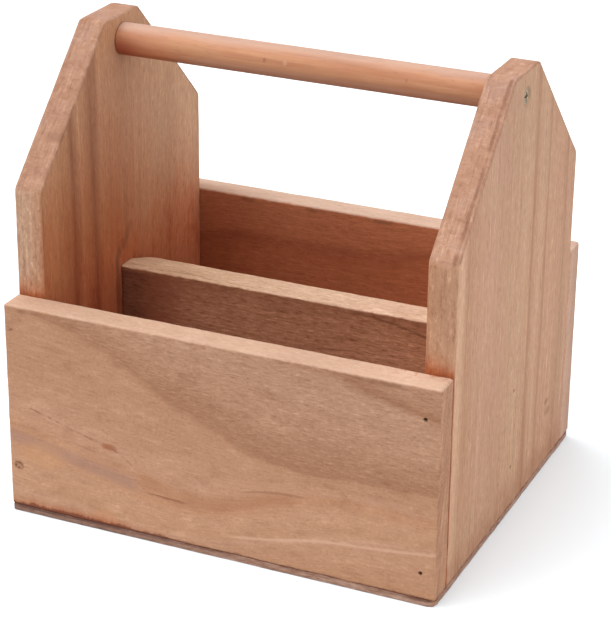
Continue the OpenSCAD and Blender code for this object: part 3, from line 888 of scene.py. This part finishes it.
# a growth line runs down the face at the right
tint(divider, stroke(divider, DIPPING_LINE, 1.2, 12, 100) * face * 0.55, (104, 62, 44))
close_finish(divider, divider.relief, 0.00025, 0.6 + divider.fibres * 0.24)

put_piece("divider_wood", divider_points, divider_faces, divider, "divider_wood", "box", "divider")


# Handle dowel
# A turned, sanded hardwood dowel between the end panels, redder and smoother than the boards. It
# turns on the two handle screws that are driven into its ends.

DOWEL_EASE = 0.4
DOWEL_ROUND = 96
DOWEL_STATIONS = 110
DOWEL_LOW, DOWEL_HIGH = box_mm("handle_dowel")
DOWEL_R = (DOWEL_HIGH[2] - DOWEL_LOW[2]) / 2
DOWEL_Z = (DOWEL_HIGH[2] + DOWEL_LOW[2]) / 2
OUT_OF_ROUND = 0.006


def turned_rod(stations, radii):
    """Rod along X: one circle per station with the station's radius, joined in order, and a fan
    of triangles to a pole at each end. A slow wander makes it a little out of round."""
    turn = np.arange(DOWEL_ROUND) * 2 * np.pi / DOWEL_ROUND
    hollow = (1 + wander(stations[:, None] + 40 * np.sin(turn), 51, 160, 5)) / 2
    ring = radii[:, None] * (1 - OUT_OF_ROUND * hollow)
    x = np.repeat(stations[:, None], DOWEL_ROUND, 1)
    points = np.stack([x, ring * np.cos(turn), DOWEL_Z + ring * np.sin(turn)], -1).reshape(-1, 3)
    number = np.arange(len(points)).reshape(len(radii), DOWEL_ROUND)
    after = np.roll(number, -1, 1)
    quads = np.stack([number[:-1], after[:-1], after[1:], number[1:]], -1).reshape(-1, 4)
    poles = np.array([[stations[0], 0, DOWEL_Z], [stations[-1], 0, DOWEL_Z]])
    first = np.full(DOWEL_ROUND, len(points))
    fan_first = np.stack([first, after[0], number[0]], -1)
    fan_last = np.stack([first + 1, number[-1], after[-1]], -1)
    return np.concatenate([points, poles]), [*quads.tolist(), *fan_first.tolist(), *fan_last.tolist()]


ease_turn = np.radians(np.linspace(0, 90, 6))
end_in = DOWEL_EASE * (1 - np.sin(ease_turn))
end_radius = DOWEL_R - DOWEL_EASE * (1 - np.cos(ease_turn))
middle = np.linspace(DOWEL_LOW[0] + DOWEL_EASE, DOWEL_HIGH[0] - DOWEL_EASE, DOWEL_STATIONS)[1:-1]
dowel_points, dowel_faces = turned_rod(
    np.concatenate([DOWEL_LOW[0] + end_in[::-1], middle, DOWEL_HIGH[0] - end_in]),
    np.concatenate([end_radius[::-1], np.full(len(middle), DOWEL_R), end_radius]))

# small spots on the dowel's front: place along it, half width, shade and share
DOWEL_SPOTS = [
    (-19, 1.1, (132, 72, 50), 0.5), (-7, 1.5, (222, 190, 156), 0.22), (62, 0.9, (120, 70, 48), 0.3)]
SPOT_UP, SPOT_HALF_HIGH = 2.0, 1.6

dowel = start_finish("dowel_hardwood", Specular_IOR_Level=0.62)
x, y, z = dowel.x, dowel.y, dowel.z
grain = vector(x, y, z + x * 0.012)
streaks = noise(grain, (75.0, 3.4, 3.4), 2)
fibres = noise(grain, (20.0, 0.6, 0.6), 3)
pores = rise(noise(grain, (4.5, 0.4, 0.4), 1), 0.63, 0.74)
cloud = noise(dowel.place, (34.0, 12.0, 12.0), 3)
dowel.colour = ramp(streaks, (0.25, 166, 107, 70), (0.5, 180, 121, 84), (0.75, 191, 135, 97))
tint(dowel, rise(cloud, 0.48, 0.72) * 0.4, (172, 106, 68))
tint(dowel, rise(cloud, 0.46, 0.28) * 0.4, (194, 142, 100))
# the left end is red, most on its underside
from_left = x + (cloud - 0.5) * 24
red_end = rise(from_left, -84.0, -106.0) * rise(z, DOWEL_Z + 8, DOWEL_Z - 4)
tint(dowel, red_end * 0.85, (150, 72, 44))
red_low = rise(from_left, -50.0, -86.0) * rise(z, DOWEL_Z + 4, DOWEL_Z - 5)
cast(dowel, red_low * 0.75, (0.98, 0.66, 0.50))
tint(dowel, rise(fibres, 0.52, 0.8) * 0.2, (160, 102, 68))
tint(dowel, pores * 0.25, (118, 66, 42))
behind = rise(y, -6.0, 0.0) * 4
for at, wide, shade, share in DOWEL_SPOTS:
    away = oval(x, z, at, DOWEL_Z + SPOT_UP, wide, SPOT_HALF_HIGH) + behind
    tint(dowel, rise(away, 1.0, 0.3) * share, shade)
# a painted highlight on top, painted floor bounce light a little paler below, and painted contact shade
# dark at the ends
painted_top_highlight = rise(z + y * 0.5 + (cloud - 0.5) * 6, DOWEL_Z + 1.0, DOWEL_Z + 8.0)
tint(dowel, painted_top_highlight * 0.45, (184, 163, 152))
below = rise(z, DOWEL_Z - 0.5, DOWEL_Z - 4.5)
tint(dowel, below * (1 - red_low) * 0.45, (196, 150, 130))
painted_end_shade = rise(abs(x), DOWEL_HIGH[0] - 1.2, DOWEL_HIGH[0] - 0.2)
tint(dowel, painted_end_shade * 0.4, (124, 70, 48))
close_finish(dowel, fibres * 0.6 + streaks * 0.4 - pores * 0.4, 0.0002, 0.55 + fibres * 0.2)

put_piece("handle_dowel_wood", dowel_points, dowel_faces, dowel, "dowel_wood", "handle", "handle_dowel")


# Handle screws
# Two countersunk wood screws with cross recesses, dull plated steel, driven along the dowel's
# axis through the end panels so that the handle hangs on them.


def dull_steel(name, bright, dark, rough):
    """Worn steel: bright metal with darker blotches, fine scratches and a little rust."""
    steel = start_finish(name, Metallic=1.0)
    blotch = noise(steel.place, (1.1, 1.1, 1.1), 3)
    scratch = noise(steel.place, (0.2, 2.6, 0.25), 2)
    steel.colour = blend(rise(blotch, 0.38, 0.68), tone(*bright), tone(*dark))
    tint(steel, rise(blotch, 0.62, 0.75) * 0.5, (96, 62, 44))
    close_finish(steel, scratch, 0.00004, rough + blotch * 0.25)
    return steel


def dress(node, coat):
    """Gives a CAD node that is kept as it is a better finish."""
    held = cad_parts[node].data.materials
    held.clear()
    held.append(coat.finish)


screw_steel = dull_steel("screw_dull_plated", (166, 146, 120), (112, 90, 68), 0.42)
for node in ("left_handle_screw", "right_handle_screw"):
    dress(node, screw_steel)


# Nails
# Wire brads, set below the surface. Only their small dark heads show at the bottom of their holes.

nail_steel = dull_steel("nail_dark_wire", (104, 78, 58), (62, 44, 32), 0.55)
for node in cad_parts:
    if node.endswith("_nails"):
        dress(node, nail_steel)


# Studio
# A white floor and surround, a broad soft light from above and the left, a fill from the right and
# a weak one from the front.

FLOOR_HALF = 6.0
FLOOR_LIT, FLOOR_SEEN, FLOOR_GLOW = (0.405, 0.422, 0.428), (0.88, 0.945, 0.985), (0.09, 0.09, 0.09)
SKY_LEVEL = 0.42


def seen_directly(wire):
    """1 for what the camera, a mirror or a glass shows, 0 for light that falls on the object."""
    rays = [wire.node("ShaderNodeLightPath", out=name)
            for name in ("Is Camera Ray", "Is Glossy Ray", "Is Transmission Ray")]
    return wire.math("MAXIMUM", rays[0], wire.math("MAXIMUM", rays[1], rays[2]))


paper = start_finish("floor_white_paper", Roughness=0.9, Specular_IOR_Level=0.0, Emission_Strength=1.0)
seen = seen_directly(paper.place)
join(paper, {"Base Color": blend(seen, FLOOR_LIT, FLOOR_SEEN),
             "Emission Color": blend(seen, (0, 0, 0), FLOOR_GLOW)})

floor_mesh = bpy.data.meshes.new("studio_floor")
corners = np.array([(-1, -1, 0), (1, -1, 0), (1, 1, 0), (-1, 1, 0)]) * FLOOR_HALF
floor_mesh.from_pydata(corners.tolist(), [], [(0, 1, 2, 3)])
floor_mesh.materials.append(paper.finish)
floor = stand("studio_floor", floor_mesh)

world = bpy.data.worlds.new("studio_surround")
bpy.context.scene.world = world
world.use_nodes = True
sky = world.node_tree.nodes["Background"]
sky.inputs["Color"].default_value = (1, 1, 1, 1)
strength = seen_directly(Wire(sky.outputs[0])) * (1 - SKY_LEVEL) + SKY_LEVEL
world.node_tree.links.new(strength.socket, sky.inputs["Strength"])


def soft_sun(name, toward, strength, spread):
    """Broad even light from a direction, given as the vector from the object towards it."""
    lamp = bpy.data.lights.new(name, "SUN")
    lamp.energy, lamp.angle = strength, math.radians(spread)
    x, y, z = toward
    stand(name, lamp).rotation_euler = (math.atan2(math.hypot(x, y), z), 0, math.atan2(x, -y))


soft_sun("overhead_softbox", (-0.50, -0.20, 0.84), 3.4, 90)
soft_sun("front_fill", (0.35, -0.85, 0.40), 0.15, 80)
soft_sun("right_fill", (0.95, -0.20, 0.25), 1.8, 80)


# Camera
# Matches the photograph's view of the corners: a long lens, in front, to the right and above.

PICTURE_HIGH = 620
FOCAL_PX = 2265.4
CAMERA_AT = (0.46941, -1.05207, 0.60575)
CAMERA_TURN, CAMERA_DOWN, CAMERA_ROLL = 23.930, 23.670, 0.01036

lens = bpy.data.cameras.new("photo_camera")
lens.sensor_width = 36.0
lens.lens = FOCAL_PX * lens.sensor_width / PICTURE_HIGH
lens.clip_start, lens.clip_end = 0.05, 50
camera = stand("photo_camera", lens)
camera.location = CAMERA_AT
turned = Matrix.Rotation(math.radians(CAMERA_TURN), 3, "Z")
tipped = Matrix.Rotation(math.radians(90 - CAMERA_DOWN), 3, "X")
camera.rotation_euler = (turned @ tipped @ Matrix.Rotation(CAMERA_ROLL, 3, "Z")).to_euler()
bpy.context.scene.camera = camera
bpy.context.scene.view_settings.view_transform = "Standard"
